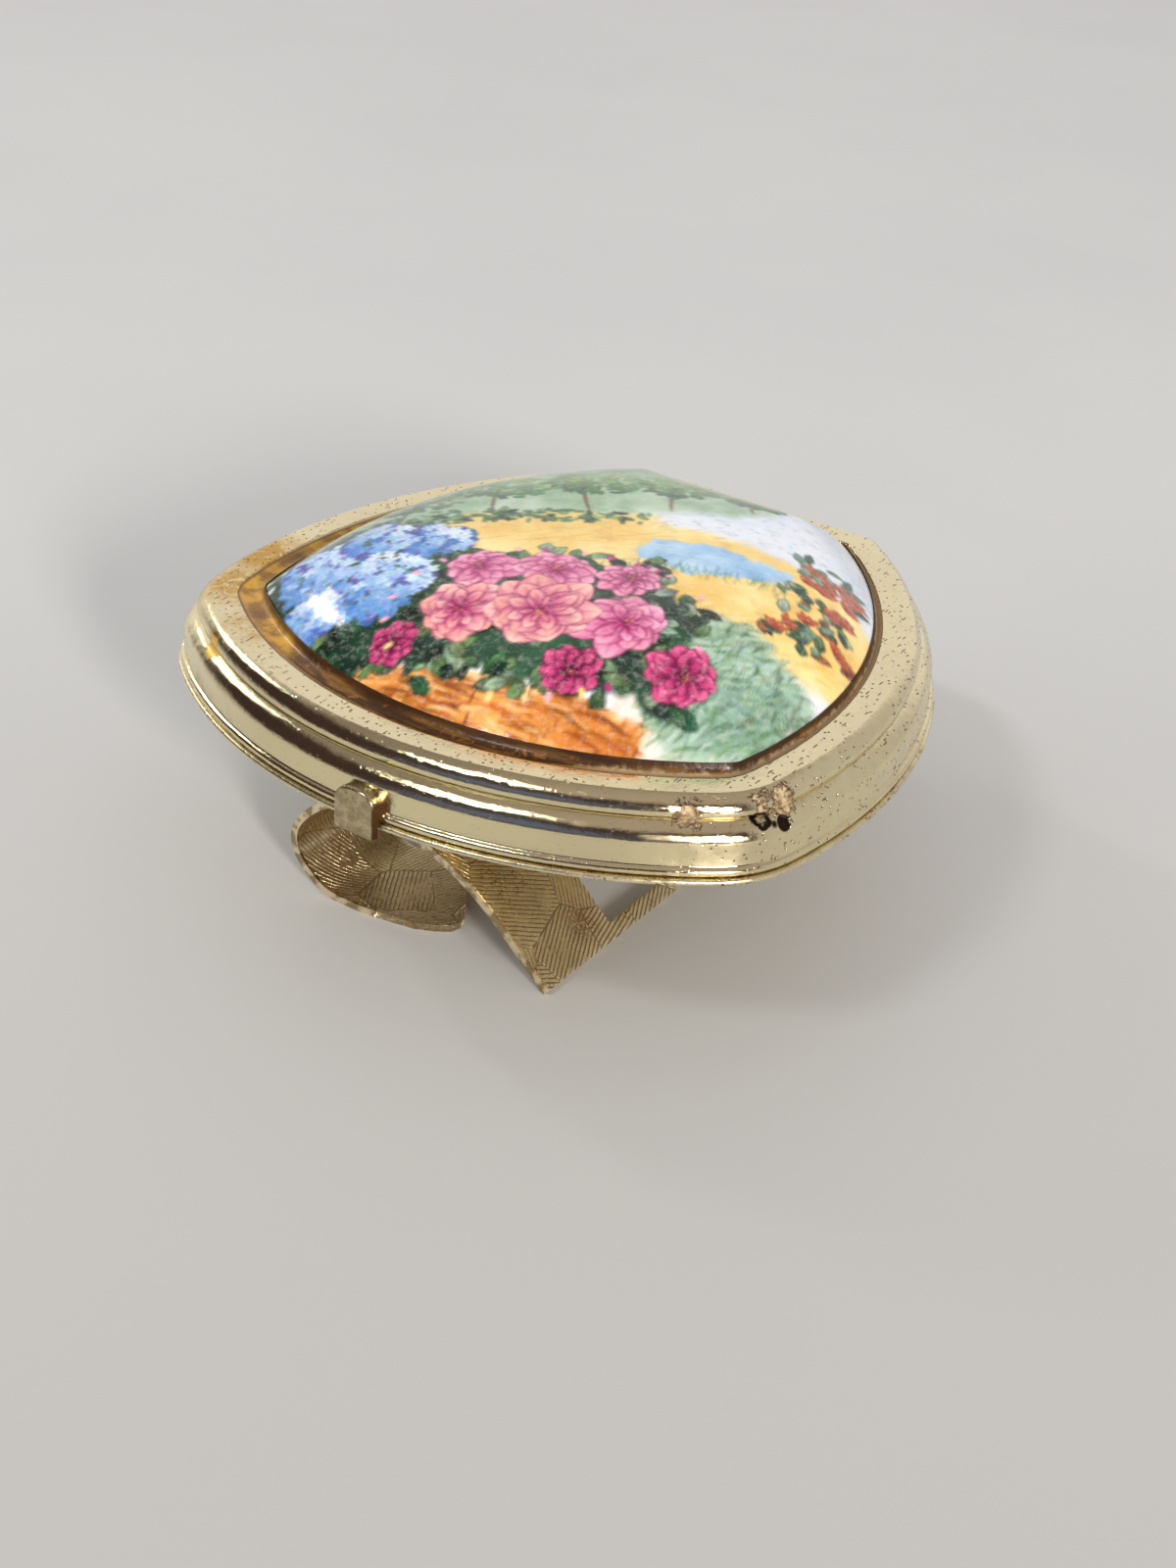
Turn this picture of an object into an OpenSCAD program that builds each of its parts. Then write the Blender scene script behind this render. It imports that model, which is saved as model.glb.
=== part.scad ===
// Poison ring: a shield-shaped brass case with a hinged lid, a domed
// porcelain plaque bedded in amber cement, and a pierced, springy shank.
// Millimetres. The ring rests on its shank: table at z = 0, +X to the right
// arm, +Y from the clasp tab to the hinge, +Z up.

/* [Case outline] */
// half distance between the two wide corners, before rounding
corner_x = 18; // [14:0.5:24]
// how far the wide corners lie in front of the middle
corner_y = 11.2; // [8:0.2:15]
// half length of the hinge end, before rounding
hinge_half = 7.8; // [6:0.2:11]
// distance from the middle to the straight hinge end
back_y = 19.6; // [16:0.2:24]
// radius of the wide end
end_r = 25.8; // [22:0.1:40]
// radius of the two long sides
leg_r = 28.75; // [24:0.25:60]
// rounding of the wide corners
round_a = 6; // [4:0.25:8]
// rounding of the hinge corners
round_b = 2.2; // [2:0.1:3]

/* [Tray] */
// height of the tray rim's underside above the table
rim_z = 10; // [8:0.5:18]
// thickness of the rim plate
rim_t = 0.32; // [0.3:0.02:0.8]
// depth of the pan below the rim
pan_depth = 3.6; // [2:0.1:6]
// how far the pan's wall stands inside the rim's edge
pan_in = 7; // [5:0.5:9]
// thickness of the pan's wall and floor
pan_t = 0.5; // [0.4:0.05:1]

/* [Lid] */
// play between the tray rim and the closed lid
lid_play = 0.06; // [0.05:0.01:0.2]
// height of the flat ledge above the rim's underside
ledge_z = 3.96; // [3.5:0.02:5]
// inset of the ledge's outer edge
ledge_in = 1.64; // [1.4:0.02:1.8]
// inset of the recess that holds the plaque
recess_in = 3; // [2.6:0.1:3.6]
// top of the seat under the plaque
seat_z = 3.1; // [2.8:0.1:3.4]
// thickness of the seat plate
seat_t = 0.45; // [0.35:0.05:0.6]
// width of the thumb tab
tab_w = 2.4; // [1.6:0.1:4]
// how far the thumb tab stands in front of the rim
tab_out = 0.38; // [0.35:0.01:0.8]
// sideways place of the thumb tab
tab_x = 0.36; // [-1:0.02:1]

/* [Plaque] */
// inset of the porcelain's edge
porc_in = 4.12; // [3.8:0.02:5]
// height of the porcelain's edge above the rim's underside
porc_z = 4.12; // [3.9:0.02:4.6]
// rise of the dome
dome_h = 3.85; // [2:0.05:5]
// how square-shouldered the dome is
dome_k = 4; // [2:0.25:6]
// sideways shift of the plaque in its recess
porc_dx = 0.45; // [-0.5:0.05:0.5]
// lengthways shift of the plaque in its recess
porc_dy = 0.25; // [-0.5:0.05:0.5]

/* [Shank] */
// width of the band along the finger
band_w = 22.4; // [16:0.4:30]
// middle of the band along the finger
band_y = -1.5; // [-3:0.25:3]
// thickness of the band's sheet
band_t = 0.4; // [0.35:0.05:0.8]
// width of each leg beside a window
leg_w = 6.3; // [4:0.1:9]

/* [Hinge] */
// outer radius of the knuckles
knuckle_r = 0.7; // [0.6:0.05:1]
// radius of the pin
pin_r = 0.3; // [0.2:0.05:0.4]
// play round the pin
pin_play = 0.04; // [0.02:0.01:0.1]
// length of one knuckle
knuckle_l = 2.2; // [1.6:0.1:3]

/* [Hidden] */
gap = 0.05;
hinge_y = back_y + knuckle_r + 0.05;
hinge_z = 0.35;
end_c = [0, sqrt(end_r * end_r - corner_x * corner_x) - corner_y];
front_y = end_c[1] - end_r;
// moves the middle of the whole ring's box to y = 0
y_mid = (hinge_y + knuckle_r + front_y - tab_out) / 2;
place = [0, -y_mid, rim_z];
// centre of a long side's arc, from its two ends on one side
leg_a = [corner_x, -corner_y];
leg_b = [hinge_half, back_y];
leg_half = norm(leg_b - leg_a) / 2;
leg_u = (leg_b - leg_a) / (2 * leg_half);
leg_c = (leg_a + leg_b) / 2
    + sqrt(leg_r * leg_r - leg_half * leg_half) * [-leg_u[1], leg_u[0]];

// the point at distances ra from a and rb from b, on the given side
function meet(a, ra, b, rb, side) =
    let (d = norm(b - a), u = (b - a) / d,
         k = (ra * ra - rb * rb + d * d) / (2 * d),
         h = sqrt(max(0, ra * ra - k * k)))
    a + k * u + side * h * [-u[1], u[0]];

// centres of the corner roundings of the outline drawn in by d
function wide_c(d, r) = meet(end_c, end_r - d - r, leg_c, leg_r - d - r, 1);
function back_c(d, r) =
    let (y = back_y - d - r, h = leg_r - d - r, k = y - leg_c[1])
    [leg_c[0] + sqrt(h * h - k * k), y];

function turn(c, p) = atan2(p[1] - c[1], p[0] - c[0]);
function arc(c, r, a0, a1, n) =
    [for (i = [0 : n - 1]) let (a = a0 + (a1 - a0) * i / n)
        c + r * [cos(a), sin(a)]];
function flip(pts) =
    [for (i = [len(pts) - 1 : -1 : 0]) [-pts[i][0], pts[i][1]]];

// half outline from the front's middle round to the back's middle
function half_outline(d, ra, rb, m) =
    let (w = wide_c(d, ra), b = back_c(d, rb),
         a1 = turn(end_c, w), a2 = turn(leg_c, w), a3 = turn(leg_c, b))
    concat(
        [for (i = [1 : 4 * m]) let (a = -90 + (a1 + 90) * i / (4 * m + 1))
            end_c + (end_r - d) * [cos(a), sin(a)]],
        arc(w, ra, a1, a2, 5 * m),
        arc(leg_c, leg_r - d, a2, a3, 8 * m),
        arc(b, rb, a3, 90, 4 * m),
        [for (i = [0 : m]) [b[0] * (1 - i / (m + 0.5)), back_y - d]]);

function outline(d, ra, rb, m = 1) =
    let (h = half_outline(d, ra, rb, m)) concat(h, flip(h));

// corner radii that shrink with the inset but never vanish
function ra_at(d) = max(round_a - d, 1.2);
function rb_at(d) = max(round_b - d, 0.5);

module plate(d, z0, z1, m = 3) {
    translate([0, 0, z0]) linear_extrude(z1 - z0)
        polygon(outline(d, ra_at(d), rb_at(d), m));
}

module hollow(d0, d1, z0, z1, m = 3) {
    difference() {
        plate(d0, z0, z1, m);
        plate(d1, z0 - 1, z1 + 1, m);
    }
}

// closed solid through a stack of rings, flat at its two ends
module stack(rings) {
    n = len(rings[0]);
    r = len(rings) - 1;
    polyhedron(convexity = 6,
        points = [for (ring = rings, p = ring) p],
        faces = concat(
            [[for (i = [0 : n - 1]) i]],
            [for (j = [0 : r - 1], i = [0 : n - 1]) let (q = (i + 1) % n)
                [j * n + i, (j + 1) * n + i, (j + 1) * n + q]],
            [for (j = [0 : r - 1], i = [0 : n - 1]) let (q = (i + 1) % n)
                [j * n + i, (j + 1) * n + q, j * n + q]],
            [[for (i = [n - 1 : -1 : 0]) r * n + i]]));
}

// quarter or half round between two heights, as [inset, height] points
function bead(x, z, rx, rz, a0, a1, n) =
    [for (i = [0 : n]) let (a = a0 + (a1 - a0) * i / n)
        [x - rx * cos(a), z + rz * sin(a)]];

// section of the stamped lid as [inset, height] points: from under the
// seat down the inner wall, round the lowest bead, up over the two
// mouldings and the ledge, and down into the recess
lid_z = rim_t + lid_play;
lid_prof = concat(
    [[1.1, seat_z - seat_t], [1.0, lid_z], [0.3, lid_z]],
    bead(0.34, lid_z + 0.22, 0.2, 0.2, -50, 70, 3),
    [[0.37, 0.95], [0.4, 2.0]],
    bead(0.62, 2.58, 0.45, 0.56, -55, 95, 6),
    bead(ledge_in, ledge_z - 0.72, 0.88, 0.72, 8, 90, 5),
    [[recess_in, ledge_z], [recess_in, seat_z]]);

// one knuckle of the hinge with its bore
module knuckle(x0, x1) {
    translate([x0, hinge_y, hinge_z]) rotate([0, 90, 0])
        cylinder(r = knuckle_r, h = x1 - x0, $fn = 48);
}

module bore(x0, x1) {
    translate([x0, hinge_y, hinge_z]) rotate([0, 90, 0])
        cylinder(r = pin_r + pin_play, h = x1 - x0, $fn = 48);
}

kn = knuckle_l / 2;

// outer face of the band, seen along the finger: from the tongue's tip,
// up the left arm, under the pan and down the right arm
// (heights above the table)
band_path = [
    [0.7, 0], [-2.2, 0], [-4.4, 0], [-5.9, 0.02], [-6.9, 0.26],
    [-7.8, 0.85], [-8.6, 1.75], [-8.88, 2.75], [-8.68, 3.7],
    [-7.95, 4.7], [-6.9, 5.59], [-5.6, 6.2],
    [-4.2, rim_z - pan_depth], [-2.8, rim_z - pan_depth],
    [-1.3, 6.2], [0.2, 5.72], [1.9, 4.95], [3.5, 3.95],
    [5.1, 2.6], [6.5, 1.28], [7.62, 0.28]];

// smooth curve through the points, n steps to a span
function spline(p, n) = concat(
    [for (i = [0 : len(p) - 2], j = [0 : n - 1])
        let (t = j / n,
             a = p[max(i - 1, 0)], b = p[i],
             c = p[i + 1], d = p[min(i + 2, len(p) - 1)])
        0.5 * (2 * b + (c - a) * t + (2 * a - 5 * b + 4 * c - d) * t * t
            + (3 * b - a - 3 * c + d) * t * t * t)],
    [p[len(p) - 1]]);

function normal_at(q, i) =
    let (v = q[min(i + 1, len(q) - 1)] - q[max(i - 1, 0)])
    [v[1], -v[0]] / norm(v);

band_curve = [for (q = spline(band_path, 3)) [q[0], max(0, q[1])]];
band_2d = concat(band_curve,
    [for (i = [len(band_curve) - 1 : -1 : 0])
        band_curve[i] + band_t * normal_at(band_curve, i)]);

// the tongue's outline on the table, near half, as [x, distance from middle]
tongue = [[-4.2, 11.2], [-1.3, 10.75], [-0.2, 10.2], [0.5, 9.7],
    [0.68, 9.1], [0.35, 8.3], [-0.2, 7.4], [-1.1, 6.1], [-1.9, 4.4],
    [-2.3, 2.2]];

module shank() {
    difference() {
        translate([0, band_y + band_w / 2, -rim_z]) rotate([90, 0, 0])
            linear_extrude(band_w) polygon(band_2d);
        // windows of the two arms: x from and to, height from and to
        for (b = [[-12, -5.2, -0.5, 5.6], [1.35, 6.95, 0.9, 6]])
            translate([b[0], band_y - band_w / 2 + leg_w, b[2] - rim_z])
                cube([b[1] - b[0], band_w - 2 * leg_w, b[3] - b[2]]);
        // shaped end of the tongue
        translate([0, band_y, -rim_z - 1]) linear_extrude(1.9)
            difference() {
                translate([-4.2, -15]) square([6, 30]);
                polygon(concat([[-5, -11.2]],
                    [for (p = tongue) [p[0], -p[1]]],
                    [for (i = [len(tongue) - 1 : -1 : 0]) tongue[i]],
                    [[-5, 11.2]]));
            }
    }
}

// tray, shank and the two outer knuckles, soldered into one
module base() {
    color([0.72, 0.62, 0.36]) translate(place) difference() {
        union() {
            hollow(0, pan_in + pan_t, 0, rim_t);
            hollow(pan_in, pan_in + pan_t, -pan_depth, rim_t / 2);
            plate(pan_in, -pan_depth, pan_t - pan_depth);
            shank();
            for (s = [-1, 1]) {
                knuckle(s * 2 * kn - kn + gap / 2, s * 2 * kn + kn - gap / 2);
                translate([s * 2 * kn - kn + gap / 2, back_y - 1, 0])
                    cube([2 * kn - gap, 1 + knuckle_r, rim_t]);
            }
        }
        bore(-3 * kn - 1, 3 * kn + 1);
        translate([-kn - gap / 2, back_y - 0.25, -1])
            cube([2 * kn + gap, 2, 3]);
    }
}

// plain pin through the three knuckles
module hinge_pin() {
    color([0.6, 0.5, 0.3]) translate(place)
        translate([-3 * kn - 0.15, hinge_y, hinge_z]) rotate([0, 90, 0])
            cylinder(r = pin_r, h = 6 * kn + 0.3, $fn = 48);
}

// stamped lid with its mouldings, ledge, seat, middle knuckle and tab
module lid_frame() {
    color([0.86, 0.78, 0.5]) translate(place) difference() {
        union() {
            stack([for (p = lid_prof)
                [for (q = outline(p[0], ra_at(p[0]), rb_at(p[0]), 2))
                    [q[0], q[1], p[1]]]]);
            knuckle(-kn + gap, kn - gap);
            translate([-kn + gap, back_y - 0.8, lid_z + 0.04])
                cube([2 * kn - 2 * gap, 0.8 + knuckle_r, 0.36]);
            clasp_tab();
        }
        bore(-3 * kn - 1, 3 * kn + 1);
    }
}

// thumb tab soldered to the lid's wall, hanging in front of the tray
module clasp_tab() {
    translate([tab_x, front_y - 0.06, 0]) rotate([90, 0, 0])
        linear_extrude(tab_out - 0.06) union() {
            translate([-tab_w / 2, -0.45]) square([tab_w, 1.5]);
            translate([0, 1.04]) intersection() {
                circle(r = tab_w / 2, $fn = 48);
                translate([-2, -0.1]) square([4, 1.05]);
            }
        }
    translate([tab_x - tab_w / 2 + 0.1, front_y - 0.1, lid_z + 0.1])
        cube([tab_w - 0.2, 0.7, 1.3]);
}

// porcelain's own outline, shifted in its recess
function porc_pts(k, m) =
    let (o = outline(porc_in, 1.2, 0.9, m))
    [for (p = o) [k * p[0] + porc_dx, k * (p[1] - 1) + 1 + porc_dy]];

// bedding of amber cement round the plaque
module cement() {
    color([0.6, 0.35, 0.08]) translate(place)
        translate([0, 0, seat_z + gap]) linear_extrude(0.68)
            difference() {
                polygon(outline(recess_in + gap, ra_at(recess_in + gap),
                    rb_at(recess_in + gap), 2));
                polygon([for (p = outline(porc_in - gap, 1.25, 0.95, 2))
                    [p[0] + porc_dx, p[1] + porc_dy]]);
            }
}

// domed plaque with a painted picture
module porcelain() {
    ks = [1, 0.985, 0.962, 0.93, 0.89, 0.84, 0.78, 0.7, 0.6, 0.46, 0.3, 0.1];
    color([0.75, 0.7, 0.75]) translate(place) stack(concat(
        [[for (p = porc_pts(1, 2)) [p[0], p[1], seat_z + gap]]],
        [for (k = ks) [for (p = porc_pts(k, 2))
            [p[0], p[1], porc_z + dome_h * (1 - pow(k, dome_k))]]]));
}

base();
hinge_pin();
lid_frame();
cement();
porcelain();
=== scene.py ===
import math

import bmesh
import bpy
import numpy as np
from mathutils import Matrix, Vector


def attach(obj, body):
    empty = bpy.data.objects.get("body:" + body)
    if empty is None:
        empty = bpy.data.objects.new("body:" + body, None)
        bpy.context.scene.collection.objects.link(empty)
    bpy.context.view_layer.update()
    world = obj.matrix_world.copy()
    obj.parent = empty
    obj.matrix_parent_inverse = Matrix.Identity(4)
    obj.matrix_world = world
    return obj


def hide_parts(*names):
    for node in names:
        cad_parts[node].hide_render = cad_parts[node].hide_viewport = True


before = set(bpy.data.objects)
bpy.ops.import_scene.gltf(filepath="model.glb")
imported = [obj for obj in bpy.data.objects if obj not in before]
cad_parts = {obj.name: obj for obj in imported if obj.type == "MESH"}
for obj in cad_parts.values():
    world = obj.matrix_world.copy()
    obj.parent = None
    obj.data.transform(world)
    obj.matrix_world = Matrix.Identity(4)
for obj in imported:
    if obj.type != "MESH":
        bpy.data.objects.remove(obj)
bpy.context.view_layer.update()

# The tray: the lower half of the case, stamped from thin brass sheet.
# A flat shield-shaped rim carries the lid and runs in to a shallow pan
# that hangs below it; the shank and the hinge are soldered on.
MM = 0.001
RIM_HEIGHT = 10.0
MIDDLE_Y = 1.07675
END_R, LEG_R, BACK_Y = 25.8, 28.75, 19.6
leg_a, leg_b = np.array([18.0, -11.2]), np.array([7.8, BACK_Y])
END_C = np.array([0.0, math.sqrt(END_R ** 2 - leg_a[0] ** 2) + leg_a[1]])
leg_half = np.linalg.norm(leg_b - leg_a) / 2
leg_u = (leg_b - leg_a) / (2 * leg_half)
LEG_C = ((leg_a + leg_b) / 2
         + math.sqrt(LEG_R ** 2 - leg_half ** 2) * np.array([-leg_u[1], leg_u[0]]))


def sweep_arc(centre, radius, start, end, count):
    """count points of an arc, its last point left to the next one"""
    a = start + (end - start) * np.arange(count) / count
    return centre + radius * np.stack([np.cos(a), np.sin(a)], 1)


def shield(inset, wide_r, back_r, fine=6):
    """the case's outline drawn in by inset, in mm, from the front round"""
    ra, rb = END_R - inset - wide_r, LEG_R - inset - wide_r
    gap = LEG_C - END_C
    d = np.linalg.norm(gap)
    u = gap / d
    k = (ra * ra - rb * rb + d * d) / (2 * d)
    wide = END_C + k * u + math.sqrt(ra * ra - k * k) * np.array([-u[1], u[0]])
    y = BACK_Y - inset - back_r
    back = np.array([LEG_C[0] + math.sqrt((LEG_R - inset - back_r) ** 2
                                          - (y - LEG_C[1]) ** 2), y])
    a1 = math.atan2(*(wide - END_C)[::-1])
    a2 = math.atan2(*(wide - LEG_C)[::-1])
    a3 = math.atan2(*(back - LEG_C)[::-1])
    half = np.concatenate([
        sweep_arc(END_C, END_R - inset, -math.pi / 2, a1, 7 * fine)[1:],
        sweep_arc(wide, wide_r, a1, a2, 4 * fine),
        sweep_arc(LEG_C, LEG_R - inset, a2, a3, 11 * fine),
        sweep_arc(back, back_r, a3, math.pi / 2, 3 * fine),
        np.stack([back[0] * (1 - np.arange(2 * fine) / (2 * fine - 0.5)),
                  np.full(2 * fine, BACK_Y - inset)], 1)])
    return np.concatenate([half, half[::-1] * [-1, 1]])


def corner_radii(inset):
    return max(6.0 - inset, 1.2), max(2.2 - inset, 0.5)


def at_height(points, z):
    """points of the case in mm, to metres in the ring's own place"""
    z = np.broadcast_to(z, len(points))
    return np.stack([points[:, 0], points[:, 1] - MIDDLE_Y,
                     z + RIM_HEIGHT], 1) * MM


def new_piece(name, points, faces, sharp=38.0):
    mesh = bpy.data.meshes.new(name)
    mesh.from_pydata([tuple(p) for p in points], [],
                     [tuple(int(i) for i in f) for f in faces])
    mesh.polygons.foreach_set("use_smooth", [True] * len(mesh.polygons))
    mesh.set_sharp_from_angle(angle=math.radians(sharp))
    mesh.update()
    piece = bpy.data.objects.new(name, mesh)
    bpy.context.scene.collection.objects.link(piece)
    return piece


def ring_faces(n, rings, caps=True):
    i = np.arange(n)
    q = (i + 1) % n
    faces = []
    for j in range(rings - 1):
        a, b = j * n, (j + 1) * n
        faces += np.stack([a + i, a + q, b + q, b + i], 1).tolist()
    if caps:
        faces.append(list(range(n - 1, -1, -1)))
        faces.append(list(range((rings - 1) * n, rings * n)))
    return faces


def round_edge(x, z, r, start, end, steps):
    """points of a rounding in a section of [inset, height], degrees"""
    a = np.radians(np.linspace(start, end, steps))
    return [(x - r * c, z + r * s) for c, s in zip(np.cos(a), np.sin(a))]


def swept(section, fine=8):
    """rings of points for a section of [inset, height] round the case"""
    return [at_height(shield(d, *corner_radii(d), fine), z) for d, z in section]


tray_section = (
    [(8.0, -3.6)] + round_edge(7.7, -2.9, 0.7, -90, 0, 6)
    + [(7.0, -0.5)] + round_edge(6.5, -0.5, -0.5, 0, -90, 5)
    + [(3.0, 0.0)] + round_edge(0.16, 0.16, 0.16, -90, 90, 9)
    + [(3.0, 0.32), (7.2, 0.32)] + round_edge(7.2, 0.02, 0.3, 90, 180, 4)[1:]
    + [(7.5, -0.3), (7.5, -2.9), (7.7, -3.1), (8.2, -3.1)])
tray_rings = swept(tray_section)
tray = new_piece("tray", np.concatenate(tray_rings),
                 ring_faces(len(tray_rings[0]), len(tray_rings)))


def plug(node, inputs):
    """sets a node's inputs, each to a value or to another node's output"""
    for key, value in inputs.items():
        if isinstance(value, bpy.types.NodeSocket):
            node.id_data.links.new(value, node.inputs[key])
        else:
            node.inputs[key].default_value = value


def put(tree, kind, inputs=None, **settings):
    made = tree.nodes.new(kind)
    for key, value in settings.items():
        setattr(made, key, value)
    plug(made, inputs or {})
    return made


def tree_of(*values):
    """the tree of the first socket among the values"""
    return next(v.id_data for v in values if isinstance(v, bpy.types.NodeSocket))


def blend(factor, low, high, way="MIX"):
    """colour mixed from low to high"""
    return put(tree_of(factor, low, high), "ShaderNodeMix", {"Factor": factor, 6: low, 7: high},
               data_type="RGBA", blend_type=way).outputs[2]


def sums(way, *values):
    return put(tree_of(*values), "ShaderNodeMath", dict(enumerate(values)),
               operation=way).outputs[0]


def times(a, b):
    return sums("MULTIPLY", a, b)


def plus(a, b):
    return sums("ADD", a, b)


def minus(a, b):
    return sums("SUBTRACT", a, b)


def larger(a, b):
    return sums("MAXIMUM", a, b)


def vectors(way, a, b, result=0):
    return put(tree_of(a, b), "ShaderNodeVectorMath", {0: a, 1: b}, operation=way).outputs[result]


def scaled(vector, size):
    return put(vector.id_data, "ShaderNodeVectorMath", {0: vector, 3: size},
               operation="SCALE").outputs[0]


def parts_of(vector):
    return put(vector.id_data, "ShaderNodeSeparateXYZ", {0: vector}).outputs


def between(value, low, high, out_low=0.0, out_high=1.0):
    """value spread from the range low..high to out_low..out_high"""
    return put(value.id_data, "ShaderNodeMapRange",
               {0: value, 1: low, 2: high, 3: out_low, 4: out_high},
               interpolation_type="SMOOTHSTEP").outputs[0]


def start_finish(name):
    """a new material's tree, its shader and its place on the piece in mm"""
    finish = bpy.data.materials.new(name)
    finish.use_nodes = True
    tree = finish.node_tree
    shader = tree.nodes["Principled BSDF"]
    place = scaled(put(tree, "ShaderNodeTexCoord").outputs["Object"], 1 / MM)
    return finish, tree, shader, place


def rough(place, scale, detail=3.0, roughness=0.55, distortion=0.0):
    return put(place.id_data, "ShaderNodeTexNoise",
               {"Vector": place, "Scale": scale, "Detail": detail,
                "Roughness": roughness, "Distortion": distortion}).outputs[0]


def bump(height, distance, strength, under=None):
    inputs = {"Height": height, "Distance": distance, "Strength": strength}
    if under is not None:
        inputs["Normal"] = under
    return put(height.id_data, "ShaderNodeBump", inputs).outputs[0]


def old_brass(name, engraved, gold=(0.88, 0.72, 0.44, 1), dull=(0.68, 0.55, 0.33, 1)):
    """gilding worn to olive brass, with tarnish; engraved where asked"""
    finish, tree, shader, place = start_finish(name)
    broad = rough(place, 0.35, 4.0)
    fine = rough(place, 2.4, 5.0, 0.6)
    colour = blend(between(broad, 0.35, 0.7), gold, dull)
    colour = blend(between(fine, 0.54, 0.74, 0.0, 0.5), colour, (0.40, 0.26, 0.11, 1))
    speck = rough(place, 7.0, 3.0, 0.6)
    rust = times(between(speck, 0.52, 0.62), between(rough(place, 0.45, 2.0), 0.56, 0.64))
    if engraved:
        spot = vectors("DISTANCE", place, (6.8, -9.2, 2.0), "Value")
        rust = larger(rust, times(between(spot, 0.5, 1.7, 1.0, 0.0), between(speck, 0.40, 0.50)))
    colour = blend(rust, colour, (0.26, 0.10, 0.03, 1))
    shine = plus(between(fine, 0.3, 0.8, 0.22, 0.42), times(rust, 0.3))
    normal = bump(fine, 0.00002, 0.35)
    if engraved:
        flat = put(tree, "ShaderNodeUVMap", uv_map="sheet").outputs[0]
        drift = put(tree, "ShaderNodeTexNoise",
                    {"Vector": flat, "Scale": 0.9, "Detail": 1.0}).outputs["Color"]
        drifted = vectors("ADD", flat, scaled(drift, 0.1))
        patches = {"Vector": drifted, "Scale": 0.28, "Randomness": 0.95}
        cells = put(tree, "ShaderNodeTexVoronoi", patches, voronoi_dimensions="2D")
        edge = put(tree, "ShaderNodeTexVoronoi", patches, voronoi_dimensions="2D",
                   feature="DISTANCE_TO_EDGE").outputs[0]
        chance = put(tree, "ShaderNodeSeparateColor", {0: cells.outputs["Color"]}).outputs
        swung = put(tree, "ShaderNodeVectorRotate",
                    {"Vector": drifted, "Angle": times(chance[0], math.pi)},
                    rotation_type="Z_AXIS").outputs[0]
        wave = sums("SINE", times(parts_of(swung)[0], 2 * math.pi / LINE_PITCH))
        line = between(wave, 0.3, 0.85)
        worn = between(rough(place, 0.8, 3.0), 0.36, 0.5, 0.35, 1.0)
        border = between(edge, 0.006, 0.022, 0.8, 0.0)
        cut = times(larger(line, border), worn)
        rim = between(sums("ABSOLUTE", parts_of(flat)[1]), BAND_W / 2 - 0.18, BAND_W / 2 - 0.1)
        cut = times(cut, minus(1.0, rim))
        colour = blend(times(chance[1], 0.28), colour, (0.40, 0.30, 0.15, 1))
        rim_tone = blend(between(rough(place, 1.4, 3.0), 0.46, 0.60),
                         (0.36, 0.26, 0.15, 1), (0.95, 0.80, 0.55, 1))
        colour = blend(times(rim, 0.85), colour, rim_tone)
        colour = blend(times(cut, 0.72), colour, (0.14, 0.08, 0.03, 1))
        normal = bump(minus(1.0, cut), 0.00003, 0.9, normal)
        shine = minus(plus(shine, times(cut, 0.1)), times(rim, 0.1))
    plug(shader, {"Base Color": colour, "Roughness": shine, "Normal": normal, "Metallic": 1.0})
    return finish


plain_brass = old_brass("tray_brass", False, (0.86, 0.77, 0.50, 1), (0.72, 0.63, 0.41, 1))
tray.data.materials.append(plain_brass)
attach(tray, "case")

# The shank: one strip of brass sheet, pierced with a window in each arm,
# engraved all over with patches of fine lines and bent to an open, springy
# loop. Its middle is soldered under the pan; the left arm ends in a tongue.
BAND_W, BAND_MID, LEG_W, SHEET = 22.4, -1.5, 6.3, 0.4
LINE_PITCH, INSIDE_SHIFT = 0.24, 40   # engraving, and where the inside takes it from
bend = np.array([
    [0.7, 0], [-2.2, 0], [-4.4, 0], [-5.9, 0.02], [-6.9, 0.26], [-7.8, 0.85],
    [-8.6, 1.75], [-8.88, 2.75], [-8.68, 3.7], [-7.95, 4.7], [-6.9, 5.59],
    [-5.6, 6.2], [-4.2, 6.4], [-2.8, 6.4], [-1.3, 6.2], [0.2, 5.72],
    [1.9, 4.95], [3.5, 3.95], [5.1, 2.6], [6.5, 1.28], [7.62, 0.28]])
tongue = np.array([
    [-4.2, 11.2], [-1.3, 10.75], [-0.2, 10.2], [0.5, 9.7], [0.68, 9.1],
    [0.35, 8.3], [-0.2, 7.4], [-1.1, 6.1], [-1.9, 4.4], [-2.3, 2.2], [-2.3, 0]])


def smooth_curve(p, steps):
    """a smooth line through the points, the same as the part's own"""
    out = []
    for i in range(len(p) - 1):
        a, b, c, d = p[max(i - 1, 0)], p[i], p[i + 1], p[min(i + 2, len(p) - 1)]
        for t in np.arange(steps) / steps:
            out.append(0.5 * (2 * b + (c - a) * t + (2 * a - 5 * b + 4 * c - d) * t * t
                              + (3 * b - a - 3 * c + d) * t ** 3))
    out.append(p[-1])
    out = np.array(out)
    out[:, 1] = np.maximum(out[:, 1], 0)
    return out


arc_line = smooth_curve(bend, 8)
run = np.concatenate([[0], np.cumsum(np.linalg.norm(np.diff(arc_line, axis=0), axis=1))])


def on_band(s):
    """place and outward-to-inward normal at a distance along the strip"""
    x, z = np.interp(s, run, arc_line[:, 0]), np.interp(s, run, arc_line[:, 1])
    e = 0.05
    dx = np.interp(s + e, run, arc_line[:, 0]) - np.interp(s - e, run, arc_line[:, 0])
    dz = np.interp(s + e, run, arc_line[:, 1]) - np.interp(s - e, run, arc_line[:, 1])
    l = np.hypot(dx, dz)
    return x, z, dz / l, -dx / l


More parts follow.
